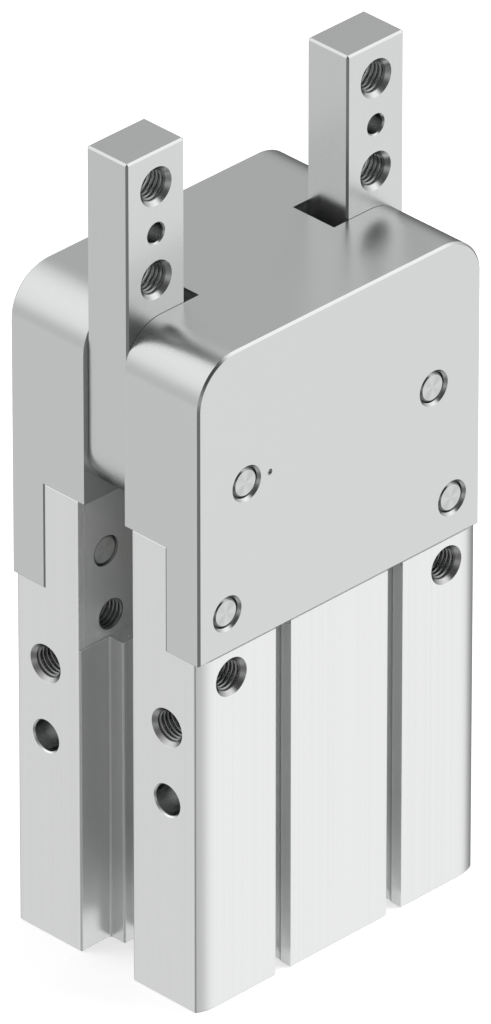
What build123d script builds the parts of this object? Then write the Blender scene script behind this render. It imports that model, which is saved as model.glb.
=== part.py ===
from build123d import *
import os
from math import acos, cos, pi, radians, sin, sqrt

# Radial gripper, in millimetres.
# X runs along the wide faces, Y is the depth and Z points up to the jaws.
# The origin is the centre of the housing's bottom face.
# The model stands closed: both jaws upright, the piston at the bottom of its stroke.

# Housing: an extruded profile, milled at its upper end
housing_width = 46.0
housing_depth = 30.72
housing_corner_radius = 5.0
housing_corner_run = 2.6
channel_mouth_width = 8.58
channel_mouth_depth = 4.84
channel_root_width = 4.0
channel_root_depth = 3.4
profile_edge_radius = 0.3
profile_inner_radius = 0.3
housing_end_chamfer = 0.15
shoulder_z = 47.62
ear_top_z = 61.6
ear_edge_break = 0.12
pocket_floor_z = 41.36
pocket_width = 9.02

# Sensor grooves, two on each wide face
groove_offset = 9.22
groove_mouth = 2.5
groove_lip = 1.6
groove_radius = 1.5

# Head cover
cover_overhang = 0.1
cover_leg_thickness = 5.4
cover_top_z = 87.56
cover_corner_radius = 6.0
cover_chamfer = 0.28
cover_leg_edge_break = 0.12
cover_web_thickness = 8.0
cover_mark_diameter = 0.8
cover_mark_depth = 0.25
cover_mark_offset = 3.75

# Jaws and their pivots
pivot_inset = 7.68
pivot_z = 69.22
pivot_pin_diameter = 4.0
pivot_bush_wall = 0.9
jaw_width = 9.3
jaw_thickness = 6.63
jaw_side_clearance = 0.055
jaw_setback = 0.49
jaw_slot_gap = 2.22
jaw_top_z = 109.25
jaw_chamfer = 0.25
jaw_swing = 90.0
finger_hole_drop = 4.62
finger_hole_pitch = 12.3
finger_dowel_diameter = 2.5

# Lever tails, one on each jaw, and the head that lifts them
lever_radius = 8.0
lever_end_radius = 3.2
lever_pin_diameter = 3.0
roller_diameter = 4.4
roller_clearance = 0.06
hub_core_radius = 4.0
blade_thickness = 3.3
blade_clearance = 0.1
blade_gap_to_hub = 0.15
blade_lower_wall = 2.0
blade_upper_wall = 1.6
blade_corner_radius = 0.8
fork_reach = 1.2
stem_gap_to_hub = 0.32
stem_corner_radius = 1.0
head_boss_diameter = 8.4
head_boss_height = 4.9
head_boss_gap = 0.5
head_spigot_depth = 8.0
lock_pin_diameter = 2.0
lock_pin_rise = 5.6

# Cylinder in the housing
bore_diameter = 25.0
piston_clearance = 0.08
piston_length = 11.0
piston_edge = 1.2
seal_width = 2.0
seal_depth = 2.0
seal_clearance = 0.03
seal_lip_chamfer = 0.5
magnet_width = 2.6
magnet_depth = 2.3
magnet_setback = 0.3
rod_diameter = 8.0
rod_clearance = 0.02
rod_spigot_diameter = 6.0
nut_across_flats = 8.0
nut_thickness = 3.2
nut_recess_depth = 4.0
nut_recess_diameter = 10.4
head_spigot_diameter = 5.0

# Rod guide in the floor of the pocket
rod_bush_wall = 1.5
rod_seal_diameter = 13.0
rod_seal_height = 2.2
retainer_diameter = 14.4
retainer_opening = 9.0
retainer_thickness = 0.8
retainer_inset = 0.5
guide_web_thickness = 0.6
guide_web_opening = 8.6

# End cap at the bottom
circlip_z = 1.5
circlip_thickness = 1.2
circlip_groove_diameter = 26.6
circlip_band = 1.9
circlip_gap_angle = 34.0
circlip_lug_radius = 2.1
circlip_lug_angle = 21.25
circlip_lug_inset = 1.05
circlip_lug_hole_diameter = 1.6
cap_thickness = 6.0
cap_clearance = 0.05
cap_groove_width = 2.2
o_ring_thickness = 1.6
cap_recess_diameter = 16.0
cap_recess_depth = 1.2
bumper_thickness = 1.0
bumper_gap = 0.1
bumper_inner_diameter = 15.0
bumper_outer_diameter = 20.0

# Fasteners and mounting holes
thread_diameter = 4.0
thread_mouth = 0.52
dowel_diameter = 4.0
dowel_mouth = 0.2
drill_point_slope = 0.5
wide_thread_inset = 5.27
wide_thread_z = 44.19
narrow_hole_inset = 5.3
narrow_thread_z = 37.26
narrow_dowel_z = 27.32
narrow_thread_depth = 8.0
narrow_dowel_depth = 5.0
bottom_hole_inset = 5.0
bottom_thread_depth = 9.0
bottom_dowel_depth = 5.0
cover_pin_diameter = 4.0
cover_pin_inset = 4.51
cover_pin_z = 53.07
pin_mouth = 0.33
pin_recess = 0.22
pin_end_chamfer = 0.35
port_diameter = 5.0
port_mouth = 0.4
port_inset = 7.7
port_depth = 5.6
port_drilling_diameter = 1.6
lower_port_rise = 2.6
upper_port_drop = 3.4

# Values that follow from the ones above
half_width = housing_width / 2
half_depth = housing_depth / 2
cover_width = housing_width + 2 * cover_overhang
cover_depth = housing_depth + 2 * cover_overhang
cover_half_depth = cover_depth / 2
ear_span = cover_depth - 2 * cover_leg_thickness
groove_centre_depth = groove_lip + sqrt(groove_radius ** 2 - (groove_mouth / 2) ** 2)
housing_edge_y = half_depth - housing_corner_radius + sqrt(
    housing_corner_radius ** 2 - housing_corner_run ** 2)
pivot_x = half_width - pivot_inset
wide_thread_x = half_width - wide_thread_inset
cover_pin_x = half_width - cover_pin_inset
port_x = half_width - port_inset
bottom_hole_x = half_width - bottom_hole_inset
narrow_hole_y = half_depth - narrow_hole_inset
bore_radius = bore_diameter / 2
jaw_outer_x = half_width - jaw_setback
hub_radius = jaw_outer_x - pivot_x
jaw_centre_x = jaw_outer_x - jaw_width / 2
cover_web_width = 2 * (jaw_outer_x - jaw_width - jaw_slot_gap)
jaw_slot_width = jaw_thickness + 2 * jaw_side_clearance
jaw_slot_top_z = cover_top_z - cover_web_thickness

# The lever pin goes from half the swing below the pivot to half the swing above it.
half_swing = radians(jaw_swing / 2)
lever_pin_x = pivot_x - lever_radius * cos(half_swing)
lever_pin_z = pivot_z - lever_radius * sin(half_swing)
stroke = 2 * lever_radius * sin(half_swing)

# The pin's height follows a sine, and the head a straight line: this is the most between them.
lever_rate = sin(half_swing) / half_swing
lever_bow_angle = acos(lever_rate)
lever_bow = lever_radius * (sin(lever_bow_angle) - lever_rate * lever_bow_angle)
roller_slot_height = roller_diameter + 2 * (lever_bow + roller_clearance)
roller_slot_root_x = pivot_x - lever_radius - roller_diameter / 2 - lever_bow
blade_half_width = pivot_x - hub_core_radius - blade_gap_to_hub
blade_bottom_z = lever_pin_z - roller_slot_height / 2 - blade_lower_wall
blade_top_z = lever_pin_z + roller_slot_height / 2 + blade_upper_wall
fork_gap = blade_thickness + 2 * blade_clearance
stem_half_width = pivot_x - hub_radius - stem_gap_to_hub
head_boss_top_z = ear_top_z - stroke - head_boss_gap
rod_shoulder_z = head_boss_top_z - head_boss_height
pivot_bush_radius = pivot_pin_diameter / 2 + pivot_bush_wall

# Heights along the cylinder, with the piston at rest
cap_bottom_z = circlip_z + circlip_thickness
cap_top_z = cap_bottom_z + cap_thickness
lower_bumper_top_z = cap_top_z + bumper_thickness
piston_bottom_z = lower_bumper_top_z + bumper_gap
piston_top_z = piston_bottom_z + piston_length
chamber_top_z = piston_top_z + stroke + bumper_gap + bumper_thickness
retainer_z = chamber_top_z + retainer_inset
rod_seal_z = retainer_z + retainer_thickness
rod_seal_top_z = rod_seal_z + rod_seal_height
rod_bush_z = rod_seal_top_z + guide_web_thickness
rod_bush_radius = rod_diameter / 2 + rod_bush_wall
lower_seal_z = piston_bottom_z + piston_edge
upper_seal_z = piston_top_z - piston_edge - seal_width
magnet_z = (piston_bottom_z + piston_top_z - magnet_width) / 2

# Edges and corners are picked by their place to within this distance.
match_tolerance = 0.01

base_centre = (Align.CENTER, Align.CENTER, Align.MIN)
top_centre = (Align.CENTER, Align.CENTER, Align.MAX)


def disc(radius, bottom, top):
    """Upright round bar between two heights."""
    return Pos(0, 0, bottom) * Cylinder(radius, top - bottom, align=base_centre)


def ring(inner, outer, bottom, top):
    """Upright tube between two heights."""
    return disc(outer, bottom, top) - disc(inner, bottom, top)


def slab(x_size, y_size, bottom, top):
    """Block centred on the axis, between two heights."""
    return Pos(0, 0, bottom) * Box(x_size, y_size, top - bottom, align=base_centre)


def side_profile(face, thickness):
    """Give a face drawn in X and Z its thickness along Y, half on each side."""
    return extrude(Plane.XZ * face, thickness / 2, both=True)


def cross_bar(radius, length, x, z):
    """Round bar along Y, centred on Y zero."""
    return Pos(x, 0, z) * Rot(90, 0, 0) * Cylinder(radius, length)


def pin(radius, length):
    """Pin along Z from zero downwards, with both ends chamfered."""
    body = Cylinder(radius, length, align=top_centre)
    return chamfer(body.edges().filter_by(GeomType.CIRCLE), pin_end_chamfer)


def hole(diameter, depth, mouth):
    """Cutter for a hole that goes down from zero, with a widened mouth and a drill point."""
    radius = diameter / 2
    cutter = Cylinder(radius, depth, align=top_centre)
    cutter += Cone(radius, radius + mouth, mouth, align=top_centre)
    cutter += Cylinder(radius + mouth, mouth, align=base_centre)
    point_height = radius * drill_point_slope
    return cutter + Pos(0, 0, -depth) * Cone(0, radius, point_height, align=top_centre)


def through_hole(diameter, depth, mouth):
    """Cutter for a hole that goes down from zero and out at its depth, widened at the top."""
    radius = diameter / 2
    cutter = Cylinder(radius, depth + mouth, align=top_centre)
    cutter += Cone(radius, radius + mouth, mouth, align=top_centre)
    return cutter + Cylinder(radius + mouth, mouth, align=base_centre)


def on_wide_face(shape, x, z, side, depth):
    """Place a shape that goes down from zero on a wide face, side 1 or -1."""
    return Plane(origin=(x, side * depth, z), z_dir=(0, side, 0)) * shape


def on_narrow_face(shape, side, y, z):
    """Place a shape that goes down from zero on a narrow face, side 1 or -1."""
    return Plane(origin=(side * half_width, y, z), z_dir=(side, 0, 0)) * shape


def narrow_end_edges(shape, x, inner_y, outer_y, bottom, top):
    """Edges in the planes at x and -x, between two distances from the middle and two heights."""
    chosen = []
    for edge in shape.edges():
        place = edge.center()
        in_plane = abs(abs(place.X) - x) < match_tolerance
        in_depth = inner_y - match_tolerance < abs(place.Y) < outer_y + match_tolerance
        in_height = bottom - match_tolerance < place.Z < top + match_tolerance
        if in_plane and in_depth and in_height:
            chosen.append(edge)
    return chosen


def housing_quarter():
    """One quarter of the extruded section's outline, rounded where wide and narrow faces meet."""
    arc_x = half_width - housing_corner_run
    centre_y = half_depth - housing_corner_radius
    middle_run = housing_corner_run / 2
    middle_y = centre_y + sqrt(housing_corner_radius ** 2 - middle_run ** 2)
    top = Line((0, half_depth), (arc_x, half_depth))
    corner = ThreePointArc(
        (arc_x, half_depth), (arc_x + middle_run, middle_y), (half_width, housing_edge_y))
    rest = Polyline((half_width, housing_edge_y), (half_width, 0), (0, 0), (0, half_depth))
    return make_face(Curve() + [top, corner, rest])


def sensor_groove():
    """Groove of the extruded section: a round channel behind a narrower mouth."""
    mouth = Pos(0, half_depth) * Rectangle(groove_mouth, 2 * groove_centre_depth)
    return mouth + Pos(0, half_depth - groove_centre_depth) * Circle(groove_radius)


def round_corners(section, x, y, radius):
    """Round the section's corner at a place, and its three mirror images."""
    chosen = []
    for vertex in section.vertices():
        if abs(abs(vertex.X) - x) + abs(abs(vertex.Y) - y) < match_tolerance:
            chosen.append(vertex)
    return fillet(chosen, radius)


def housing_profile():
    """Extruded section: four arms round the bore, with open channels and sensor grooves."""
    quarter = housing_quarter()
    quarter -= Pos(half_width, 0) * Rectangle(2 * channel_mouth_depth, channel_mouth_width)
    root_reach = 2 * (channel_mouth_depth + channel_root_depth)
    quarter -= Pos(half_width, 0) * Rectangle(root_reach, channel_root_width)
    quarter -= Pos(groove_offset, 0) * sensor_groove()
    half = quarter + mirror(quarter, about=Plane.YZ)
    section = half + mirror(half, about=Plane.XZ)
    step_x = half_width - channel_mouth_depth
    mouth_y = channel_mouth_width / 2
    section = round_corners(section, half_width, housing_edge_y, profile_edge_radius)
    section = round_corners(section, half_width, mouth_y, profile_edge_radius)
    section = round_corners(section, step_x, channel_root_width / 2, profile_edge_radius)
    return round_corners(section, step_x, mouth_y, profile_inner_radius)


def air_port(z):
    """Threaded port on the rear wide face, with a drilling across to the bore."""
    port = on_wide_face(hole(port_diameter, port_depth, port_mouth), port_x, z, 1, half_depth)
    drilling_y = half_depth - port_depth
    drilling = Rot(0, 90, 0) * Cylinder(port_drilling_diameter / 2, port_x)
    return port + Pos(port_x / 2, drilling_y, z) * drilling


def make_housing():
    """Housing: extruded body with ears and a pocket above, and the cylinder bore below."""
    body = extrude(housing_profile(), ear_top_z)
    bottom_edges = body.faces().sort_by(Axis.Z)[0].outer_wire().edges()
    body = chamfer(bottom_edges, housing_end_chamfer)
    body -= slab(housing_width, cover_depth, shoulder_z, ear_top_z) - slab(
        housing_width, ear_span, shoulder_z, ear_top_z)
    body -= slab(housing_width, pocket_width, pocket_floor_z, ear_top_z)
    ear_edges = narrow_end_edges(
        body, half_width, pocket_width / 2 + ear_edge_break, ear_span / 2, shoulder_z, ear_top_z)
    body = chamfer(ear_edges, ear_edge_break)
    body -= disc(bore_radius, 0, chamber_top_z)
    body -= disc(circlip_groove_diameter / 2, circlip_z, cap_bottom_z)
    body -= disc(rod_seal_diameter / 2, chamber_top_z, rod_seal_top_z)
    body -= disc(retainer_diameter / 2, retainer_z, rod_seal_z)
    body -= disc(guide_web_opening / 2, rod_seal_top_z, rod_bush_z)
    body -= disc(rod_bush_radius, rod_bush_z, pocket_floor_z)
    body -= air_port(cap_top_z + lower_port_rise)
    body -= air_port(chamber_top_z - upper_port_drop)
    arm = half_depth - pocket_width / 2
    pin_reach = (ear_span - pocket_width) / 2
    for x_side in (1, -1):
        for y_side in (1, -1):
            thread = through_hole(thread_diameter, arm, thread_mouth)
            body -= on_wide_face(thread, x_side * wide_thread_x, wide_thread_z, y_side, half_depth)
            pin_hole = Cylinder(cover_pin_diameter / 2, pin_reach, align=top_centre)
            body -= on_wide_face(
                pin_hole, x_side * cover_pin_x, cover_pin_z, y_side, ear_span / 2)
            thread = hole(thread_diameter, narrow_thread_depth, thread_mouth)
            body -= on_narrow_face(thread, x_side, y_side * narrow_hole_y, narrow_thread_z)
            dowel = hole(dowel_diameter, narrow_dowel_depth, dowel_mouth)
            body -= on_narrow_face(dowel, x_side, y_side * narrow_hole_y, narrow_dowel_z)
            base_hole = hole(thread_diameter, bottom_thread_depth, thread_mouth)
            if x_side != y_side:
                base_hole = hole(dowel_diameter, bottom_dowel_depth, dowel_mouth)
            place = (x_side * bottom_hole_x, y_side * narrow_hole_y, 0)
            body -= Plane(origin=place, z_dir=(0, 0, -1)) * base_hole
    return body


def make_head_cover():
    """Cover: a milled block that straddles the ears, slotted for the jaws and the drive head."""
    height = cover_top_z - shoulder_z
    outline = Pos(0, shoulder_z + height / 2) * Rectangle(cover_width, height)
    top_corners = outline.vertices().sort_by(Axis.Y)[-2:]
    outline = fillet(top_corners, cover_corner_radius)
    cover = side_profile(outline, cover_depth)
    wide_faces = cover.faces().sort_by(Axis.Y)
    cover = chamfer(wide_faces[0].edges() + wide_faces[-1].edges(), cover_chamfer)
    cover -= slab(cover_width, ear_span, shoulder_z, ear_top_z)
    leg_edges = narrow_end_edges(
        cover, cover_width / 2, 0, cover_half_depth - 2 * cover_chamfer, shoulder_z, ear_top_z)
    cover = chamfer(leg_edges, cover_leg_edge_break)
    cover -= slab(cover_width, jaw_slot_width, ear_top_z, jaw_slot_top_z)
    open_end = (cover_width - cover_web_width) / 2
    open_end_x = (cover_width + cover_web_width) / 4
    for side in (1, -1):
        cover -= Pos(side * open_end_x, 0, 0) * slab(
            open_end, jaw_slot_width, ear_top_z, cover_top_z)
        for y_side in (1, -1):
            leg = cover_half_depth - ear_span / 2
            pin_hole = through_hole(cover_pin_diameter, leg, pin_mouth)
            cover -= on_wide_face(
                pin_hole, side * cover_pin_x, cover_pin_z, y_side, cover_half_depth)
            cheek = cover_half_depth - jaw_slot_width / 2
            pivot_hole = through_hole(pivot_pin_diameter, cheek, pin_mouth)
            cover -= on_wide_face(pivot_hole, side * pivot_x, pivot_z, y_side, cover_half_depth)
    mark = Cylinder(cover_mark_diameter / 2, cover_mark_depth, align=top_centre)
    mark_x = cover_mark_offset - pivot_x
    return cover - on_wide_face(mark, mark_x, pivot_z, -1, cover_half_depth)


def make_cover_pins():
    """Four dowel pins that hold the cover's legs to the ears."""
    length = cover_half_depth - pin_recess - pocket_width / 2 - pin_recess
    pins = []
    for x_side in (1, -1):
        for y_side in (1, -1):
            place = cover_half_depth - pin_recess
            pins.append(on_wide_face(
                pin(cover_pin_diameter / 2, length), x_side * cover_pin_x, cover_pin_z,
                y_side, place))
    return Compound(children=pins)


def make_pivot_pin(side):
    """Pin through the cover, on which one jaw turns."""
    length = cover_depth - 2 * pin_recess
    shape = pin(pivot_pin_diameter / 2, length)
    return on_wide_face(shape, side * pivot_x, pivot_z, 1, length / 2)


def make_pivot_bush(side):
    """Plain bush pressed into a jaw's hub, running on the pivot pin."""
    bush = cross_bar(pivot_bush_radius, jaw_thickness, side * pivot_x, pivot_z)
    running = pivot_pin_diameter / 2 + rod_clearance
    return bush - cross_bar(running, jaw_thickness, side * pivot_x, pivot_z)


def jaw_outline():
    """Right jaw seen from the front: finger, round hub, and lever tail down and inwards."""
    finger_height = jaw_top_z - pivot_z
    finger = Pos(jaw_centre_x, pivot_z + finger_height / 2) * Rectangle(jaw_width, finger_height)
    hub = Pos(pivot_x, pivot_z) * Circle(hub_radius)
    lever_end = Pos(lever_pin_x, lever_pin_z) * Circle(lever_end_radius)
    lever = Pos((pivot_x + lever_pin_x) / 2, (pivot_z + lever_pin_z) / 2) * Rot(
        0, 0, jaw_swing / 2) * Rectangle(lever_radius, 2 * lever_end_radius)
    return finger + hub + lever + lever_end


def fork_outline():
    """Space between the cheeks of the lever tail: outside the hub's core, inwards and below."""
    reach = lever_radius + lever_end_radius + hub_radius
    start_z = -sqrt(hub_core_radius ** 2 - fork_reach ** 2)
    bend = hub_core_radius * sin(pi / 4)
    core = ThreePointArc((fork_reach, start_z), (-bend, -bend), (-hub_core_radius, 0))
    outside = Polyline(
        (-hub_core_radius, 0), (-hub_core_radius, hub_radius), (-reach, hub_radius),
        (-reach, -reach), (fork_reach, -reach), (fork_reach, start_z))
    return Pos(pivot_x, pivot_z) * make_face(Curve() + [core, outside])


def make_jaw(side):
    """One jaw with its fork, pivot and lever holes, and the finger's mounting holes."""
    jaw = side_profile(jaw_outline(), jaw_thickness)
    faces = jaw.faces().sort_by(Axis.Y)
    top_edges = jaw.faces().sort_by(Axis.Z)[-1].edges().filter_by(Axis.Y)
    jaw = chamfer(faces[0].edges() + faces[-1].edges() + top_edges, jaw_chamfer)
    jaw -= side_profile(fork_outline(), fork_gap)
    jaw -= cross_bar(pivot_bush_radius, jaw_thickness, pivot_x, pivot_z)
    jaw -= cross_bar(lever_pin_diameter / 2, jaw_thickness, lever_pin_x, lever_pin_z)
    top_hole_z = jaw_top_z - finger_hole_drop
    heights = (top_hole_z, top_hole_z - finger_hole_pitch)
    face_y = jaw_thickness / 2
    for z in heights:
        for y_side in (1, -1):
            thread = through_hole(thread_diameter, face_y, thread_mouth)
            jaw -= on_wide_face(thread, jaw_centre_x, z, y_side, face_y)
    for y_side in (1, -1):
        dowel = through_hole(finger_dowel_diameter, face_y, dowel_mouth)
        jaw -= on_wide_face(dowel, jaw_centre_x, sum(heights) / 2, y_side, face_y)
    if side < 0:
        jaw = mirror(jaw, about=Plane.YZ)
    return jaw


def make_lever_pin(side):
    """Pin across the fork of a lever tail."""
    length = jaw_thickness - 2 * jaw_chamfer
    shape = pin(lever_pin_diameter / 2, length)
    return on_wide_face(shape, side * lever_pin_x, lever_pin_z, 1, length / 2)


def make_lever_roller(side):
    """Roller on the lever pin, running in the drive head's slot."""
    x = side * lever_pin_x
    roller = cross_bar(roller_diameter / 2, blade_thickness, x, lever_pin_z)
    running = lever_pin_diameter / 2 + rod_clearance
    return roller - cross_bar(running, blade_thickness, x, lever_pin_z)


def make_drive_head():
    """Drive head: a blade with a slot for each roller, on a stem that the rod carries."""
    blade_height = blade_top_z - blade_bottom_z
    blade_z = (blade_top_z + blade_bottom_z) / 2
    blade = Pos(0, blade_z) * Rectangle(2 * blade_half_width, blade_height)
    blade = fillet(blade.vertices(), blade_corner_radius)
    slot_length = 2 * (blade_half_width - roller_slot_root_x)
    for side in (1, -1):
        slot = RectangleRounded(slot_length, roller_slot_height, blade_corner_radius)
        blade -= Pos(side * blade_half_width, lever_pin_z) * slot
    stem_height = blade_bottom_z + blade_lower_wall / 2 - rod_shoulder_z
    stem = Pos(0, rod_shoulder_z + stem_height / 2) * Rectangle(2 * stem_half_width, stem_height)
    stem -= Pos(0, head_boss_top_z - stem_height) * Rectangle(2 * stem_half_width, 2 * stem_height)
    stem = fillet(stem.vertices().sort_by(Axis.Y)[:2], stem_corner_radius)
    head = side_profile(blade, blade_thickness)
    head += side_profile(stem, jaw_thickness)
    head += disc(head_boss_diameter / 2, rod_shoulder_z, head_boss_top_z)
    head -= disc(head_spigot_diameter / 2, rod_shoulder_z, rod_shoulder_z + head_spigot_depth)
    lock_z = rod_shoulder_z + lock_pin_rise
    return head - cross_bar(lock_pin_diameter / 2, jaw_thickness, 0, lock_z)


def make_head_lock_pin():
    """Cross pin that keeps the drive head on the rod."""
    lock_z = rod_shoulder_z + lock_pin_rise
    return cross_bar(lock_pin_diameter / 2, jaw_thickness, 0, lock_z)


def make_piston_rod():
    """Rod: a threaded end below the piston, the running length, and a spigot in the head."""
    nut_top_z = piston_bottom_z + nut_recess_depth
    rod = disc(rod_diameter / 2, piston_top_z, rod_shoulder_z)
    rod += disc(rod_spigot_diameter / 2, nut_top_z - nut_thickness, piston_top_z)
    rod += disc(head_spigot_diameter / 2, rod_shoulder_z, rod_shoulder_z + head_spigot_depth)
    lock_z = rod_shoulder_z + lock_pin_rise
    return rod - cross_bar(lock_pin_diameter / 2, jaw_thickness, 0, lock_z)


def make_piston():
    """Piston with grooves for two seals and a magnet, and a recess for the nut."""
    radius = bore_radius - piston_clearance
    piston = disc(radius, piston_bottom_z, piston_top_z)
    for z in (lower_seal_z, upper_seal_z):
        piston -= ring(radius - seal_depth, bore_radius, z, z + seal_width)
    piston -= ring(radius - magnet_depth, bore_radius, magnet_z, magnet_z + magnet_width)
    piston -= disc(rod_spigot_diameter / 2, piston_bottom_z, piston_top_z)
    nut_top_z = piston_bottom_z + nut_recess_depth
    return piston - disc(nut_recess_diameter / 2, piston_bottom_z, nut_top_z)


def make_piston_seal(z):
    """Lip seal in one of the piston's grooves."""
    inner = bore_radius - piston_clearance - seal_depth
    seal = ring(inner, bore_radius - seal_clearance, z, z + seal_width)
    lip_edges = seal.edges().filter_by(GeomType.CIRCLE).sort_by(SortBy.RADIUS)[-2:]
    return chamfer(lip_edges, seal_lip_chamfer)


def make_piston_magnet():
    """Ring magnet that the sensors in the grooves detect."""
    radius = bore_radius - piston_clearance
    return ring(radius - magnet_depth, radius - magnet_setback, magnet_z, magnet_z + magnet_width)


def make_piston_nut():
    """Hexagon nut that clamps the piston on the rod."""
    nut_top_z = piston_bottom_z + nut_recess_depth
    hexagon = RegularPolygon(nut_across_flats / 2, 6, major_radius=False)
    nut = Pos(0, 0, nut_top_z - nut_thickness) * extrude(hexagon, nut_thickness)
    return nut - disc(rod_spigot_diameter / 2, nut_top_z - nut_thickness, nut_top_z)


def make_rod_bush():
    """Plain bearing for the rod in the pocket's floor."""
    return ring(rod_diameter / 2 + rod_clearance, rod_bush_radius, rod_bush_z, pocket_floor_z)


def make_rod_seal():
    """Rod seal under the bush."""
    running = rod_diameter / 2 + seal_clearance
    return ring(running, rod_seal_diameter / 2, rod_seal_z, rod_seal_top_z)


def make_seal_retainer():
    """Ring that snaps in below the rod seal."""
    return ring(retainer_opening / 2, retainer_diameter / 2, retainer_z, rod_seal_z)


def make_bumper(bottom):
    """Elastic end stop for the piston."""
    inner = bumper_inner_diameter / 2
    return ring(inner, bumper_outer_diameter / 2, bottom, bottom + bumper_thickness)


def make_end_cap():
    """Cap that closes the bore at the bottom, with an O-ring groove and a shallow recess."""
    radius = bore_radius - cap_clearance
    cap = disc(radius, cap_bottom_z, cap_top_z)
    groove_z = (cap_bottom_z + cap_top_z - cap_groove_width) / 2
    groove_root = bore_radius - o_ring_thickness
    cap -= ring(groove_root, bore_radius, groove_z, groove_z + cap_groove_width)
    return cap - disc(cap_recess_diameter / 2, cap_bottom_z, cap_bottom_z + cap_recess_depth)


def make_end_cap_o_ring():
    """O-ring between the cap and the bore."""
    middle_z = (cap_bottom_z + cap_top_z) / 2
    section_radius = o_ring_thickness / 2
    return Pos(0, 0, middle_z) * Torus(bore_radius - section_radius, section_radius)


def make_circlip():
    """Internal retaining ring with two pierced lugs beside its gap."""
    outer = circlip_groove_diameter / 2
    inner = outer - circlip_band
    lug_circle = inner - circlip_lug_inset
    band = Circle(outer) - Circle(inner)
    half_gap = radians(circlip_gap_angle / 2)
    wedge_reach = 2 * outer
    wedge_half = wedge_reach * sin(half_gap) / cos(half_gap)
    wedge = make_face(Polyline(
        (0, 0), (wedge_reach, wedge_half), (wedge_reach, -wedge_half), (0, 0)))
    band -= wedge
    for side in (1, -1):
        angle = side * radians(circlip_lug_angle)
        centre = Pos(lug_circle * cos(angle), lug_circle * sin(angle))
        band += centre * Circle(circlip_lug_radius)
        band -= centre * Circle(circlip_lug_hole_diameter / 2)
    band &= Circle(outer)
    return Pos(0, 0, circlip_z) * extrude(band, circlip_thickness)


def write(name, shape):
    """Save one sub-part under its name."""
    export_step(shape, "parts/" + name + ".step")
    print(name, round(shape.volume, 2))


os.makedirs("parts", exist_ok=True)
write("body_housing", make_housing())
write("head_cover", make_head_cover())
write("cover_dowel_pins", make_cover_pins())
for side, side_name in ((-1, "left"), (1, "right")):
    write("jaw_" + side_name, make_jaw(side))
    write("pivot_pin_" + side_name, make_pivot_pin(side))
    write("pivot_bush_" + side_name, make_pivot_bush(side))
    write("lever_pin_" + side_name, make_lever_pin(side))
    write("lever_roller_" + side_name, make_lever_roller(side))
write("drive_head", make_drive_head())
write("head_lock_pin", make_head_lock_pin())
write("piston_rod", make_piston_rod())
write("piston", make_piston())
write("piston_seal_lower", make_piston_seal(lower_seal_z))
write("piston_seal_upper", make_piston_seal(upper_seal_z))
write("piston_magnet", make_piston_magnet())
write("piston_nut", make_piston_nut())
write("rod_bush", make_rod_bush())
write("rod_seal", make_rod_seal())
write("seal_retainer", make_seal_retainer())
write("bumper_lower", make_bumper(cap_top_z))
write("bumper_upper", make_bumper(chamber_top_z - bumper_thickness))
write("end_cap", make_end_cap())
write("end_cap_o_ring", make_end_cap_o_ring())
write("end_cap_circlip", make_circlip())
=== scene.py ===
# %% [markdown]
# # Radial gripper
# This script dresses a machined gripper: a housing extruded from aluminium, a milled cover, two
# ground jaws that swing outwards, and the lever drive that shows through the open sides. The solids
# come from the frame at their real size, so the work here is finish: metal that reads as metal,
# threads in the holes, and turned pins.

# %% Load the frame
import math

import bmesh
import bpy
from mathutils import Matrix, Vector


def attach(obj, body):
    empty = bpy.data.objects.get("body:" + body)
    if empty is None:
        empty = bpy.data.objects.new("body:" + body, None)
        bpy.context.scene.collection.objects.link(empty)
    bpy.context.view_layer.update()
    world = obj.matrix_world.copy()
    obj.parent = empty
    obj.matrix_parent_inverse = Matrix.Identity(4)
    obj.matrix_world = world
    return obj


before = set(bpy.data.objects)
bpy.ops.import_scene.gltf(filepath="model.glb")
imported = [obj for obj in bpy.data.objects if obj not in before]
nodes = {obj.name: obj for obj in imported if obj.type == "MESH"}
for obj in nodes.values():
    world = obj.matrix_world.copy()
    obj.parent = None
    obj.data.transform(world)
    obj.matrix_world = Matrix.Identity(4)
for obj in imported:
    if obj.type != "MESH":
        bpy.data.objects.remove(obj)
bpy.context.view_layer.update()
MM = 0.001
print("nodes in the frame:", len(nodes))

# %% [markdown]
# ## Camera
# The photograph was taken from far away with a long lens: its edges stay nearly parallel. A near
# camera with a short lens could show the part at the same size, but its edges would run together.
# So the camera stands nearly two metres away. The aim point and both angles were solved from the
# places of the object's edges in the photograph.

# %% Place the camera
CAMERA_AZIMUTH = math.radians(-44.904)
CAMERA_ELEVATION = math.radians(30.893)
CAMERA_DISTANCE = 1.9123
CAMERA_AIM = Vector((0.0000367, 0.0001535, 0.052325))
PHOTO_HEIGHT = 1024
FOCAL_PIXELS = 16401.9
SENSOR = 36.0
NEAR_CLIP = 0.1
FAR_CLIP = 20.0

camera_data = bpy.data.cameras.new("photo_camera")
camera_data.sensor_width = SENSOR
camera_data.lens = FOCAL_PIXELS / PHOTO_HEIGHT * SENSOR
camera_data.clip_start = NEAR_CLIP
camera_data.clip_end = FAR_CLIP
camera = bpy.data.objects.new("photo_camera", camera_data)
bpy.context.collection.objects.link(camera)
towards_camera = Vector((
    math.sin(CAMERA_AZIMUTH) * math.cos(CAMERA_ELEVATION),
    -math.cos(CAMERA_AZIMUTH) * math.cos(CAMERA_ELEVATION),
    math.sin(CAMERA_ELEVATION)))
camera.location = CAMERA_AIM + towards_camera * CAMERA_DISTANCE
camera.rotation_euler = (-towards_camera).to_track_quat("-Z", "Y").to_euler()
bpy.context.scene.camera = camera
print("camera at", [round(v, 3) for v in camera.location])

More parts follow.
